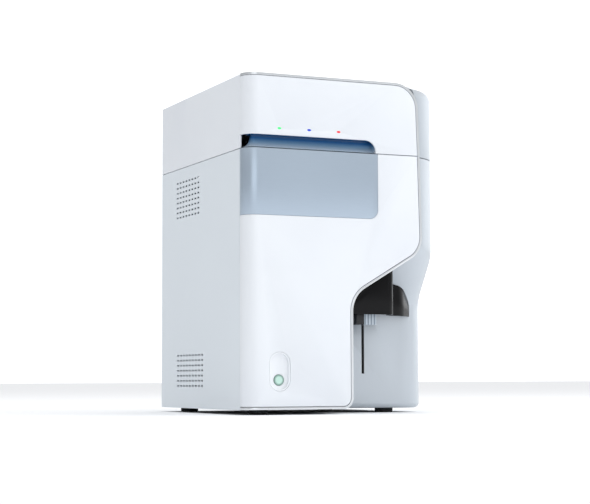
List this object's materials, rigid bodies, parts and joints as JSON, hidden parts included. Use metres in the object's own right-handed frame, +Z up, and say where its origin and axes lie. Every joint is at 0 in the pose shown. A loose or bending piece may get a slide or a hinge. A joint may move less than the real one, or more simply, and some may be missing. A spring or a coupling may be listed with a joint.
{
  "type": "flow cytometer",
  "caption": "Upright bench flow cytometer with a hinged upper cover, a finger grip, a start button and an open sampling bay with a lifting probe under a hood.",
  "frame": {"origin": "bottom centre of the bounding box, on the bench under the feet", "axes": "+Z up, -Y towards the front with the grip and the button, +X towards the silver side with the sampling bay"},
  "size_m": [0.342, 0.39, 0.502],
  "materials": {
    "white_moulding": "satin",
    "side_paint": "matte",
    "silver_moulding": "satin metallic",
    "satin_strip": "satin",
    "inlay": "satin anodised",
    "blue_liner": "gloss",
    "lamp_lens": "gloss",
    "circuit_board": "matte",
    "black_gloss": "gloss",
    "black_plastic": "matte",
    "button_green": "satin",
    "bezel_white": "satin",
    "foot_rubber": "matte",
    "zinc_sheet": "satin",
    "steel": "satin",
    "aluminium_plate": "satin",
    "black_anodised": "satin",
    "clear_glass": "polished",
    "clear_acrylic": "polished",
    "brass_nut": "satin",
    "silicone_tube": "satin"
  },
  "bodies": {
    "body": {"front_cover": "white_moulding", "name_band": "inlay", "front_trim": "satin_strip", "right_cover": "silver_moulding", "left_panel": "side_paint", "rear_panel": "side_paint", "base_tray": "zinc_sheet", "feet": "foot_rubber", "corner_posts": "aluminium_plate", "deck_plate": "zinc_sheet", "button_bezel": "bezel_white", "power_switch": "black_plastic", "probe_cover": "black_gloss", "wash_block": "clear_acrylic", "drive_frame": "zinc_sheet", "guide_rods": "steel", "drive_motor": "black_plastic", "optical_bench": "black_anodised", "laser_module": "black_anodised", "lens_mounts": "black_anodised", "lenses": "clear_glass", "flow_cell_holder": "aluminium_plate", "flow_cell": "clear_glass", "scatter_detector": "black_anodised", "side_detector": "black_anodised", "syringe_frame": "aluminium_plate", "syringe_barrels": "clear_glass", "syringe_motor": "black_plastic", "fluid_plate": "zinc_sheet", "valve_manifold": "clear_acrylic", "solenoid_valves": "black_plastic", "mixing_chambers": "clear_acrylic", "pump_housing": "black_plastic", "pump_tube": "silicone_tube", "pump_motor": "black_plastic", "power_supply": "aluminium_plate", "main_board": "circuit_board", "fan_frame": "black_plastic", "mains_inlet": "black_plastic", "data_port": "steel", "fluid_ports": "brass_nut", "hinge_body_leaves": "steel", "cover_screws": "steel"},
    "lid": {"lid_shell": "white_moulding", "lid_fascia": "white_moulding", "lid_side": "silver_moulding", "lid_trim": "satin_strip", "grip_liner": "blue_liner", "status_lenses": "lamp_lens", "status_board": "circuit_board", "hinge_lid_leaves": "steel"},
    "start_button": {"power_button": "button_green"},
    "probe_lift": {"probe_carriage": "aluminium_plate", "sample_probe": "steel"},
    "probe_screw": {"drive_screw": "steel"},
    "plungers": {"syringe_plungers": "aluminium_plate"},
    "plunger_screw": {"syringe_screw": "steel"},
    "pump_rotor": {"pump_rotor": "steel"},
    "fan_rotor": {"fan_rotor": "black_plastic"}
  },
  "joints": [
    {"name": "lid_hinge", "type": "hinge", "parent": "body", "child": "lid", "pos_m": [0.013, 0.1845, 0.391], "axis": [-1, 0, 0], "range_deg": [0, 75]},
    {"name": "button_press", "type": "slide", "parent": "body", "child": "start_button", "axis": [0, 1, 0], "range_m": [0, 0.0025], "stiffness_N_per_m": 400, "springref_m": -0.001},
    {"name": "probe_travel", "type": "slide", "parent": "body", "child": "probe_lift", "axis": [0, 0, 1], "range_m": [0, 0.075]},
    {"name": "probe_screw_turn", "type": "hinge", "parent": "body", "child": "probe_screw", "pos_m": [0.039, -0.073, 0.2], "axis": [0, 0, 1], "range_deg": [0, 3380]},
    {"name": "plunger_travel", "type": "slide", "parent": "body", "child": "plungers", "axis": [0, 0, -1], "range_m": [0, 0.056]},
    {"name": "plunger_screw_turn", "type": "hinge", "parent": "body", "child": "plunger_screw", "pos_m": [-0.049, -0.115, 0.13], "axis": [0, 0, 1], "range_deg": [0, 2525]},
    {"name": "pump_spin", "type": "hinge", "parent": "body", "child": "pump_rotor", "pos_m": [0.079, 0.026, 0.066], "axis": [0, 1, 0], "continuous": true},
    {"name": "fan_spin", "type": "hinge", "parent": "body", "child": "fan_rotor", "pos_m": [-0.061, 0.161, 0.226], "axis": [0, 1, 0], "continuous": true}
  ],
  "couplings": [
    {"joint": "probe_screw_turn", "follows": "probe_travel", "rad_per_m": 785.4},
    {"joint": "plunger_screw_turn", "follows": "plunger_travel", "rad_per_m": 785.4}
  ]
}
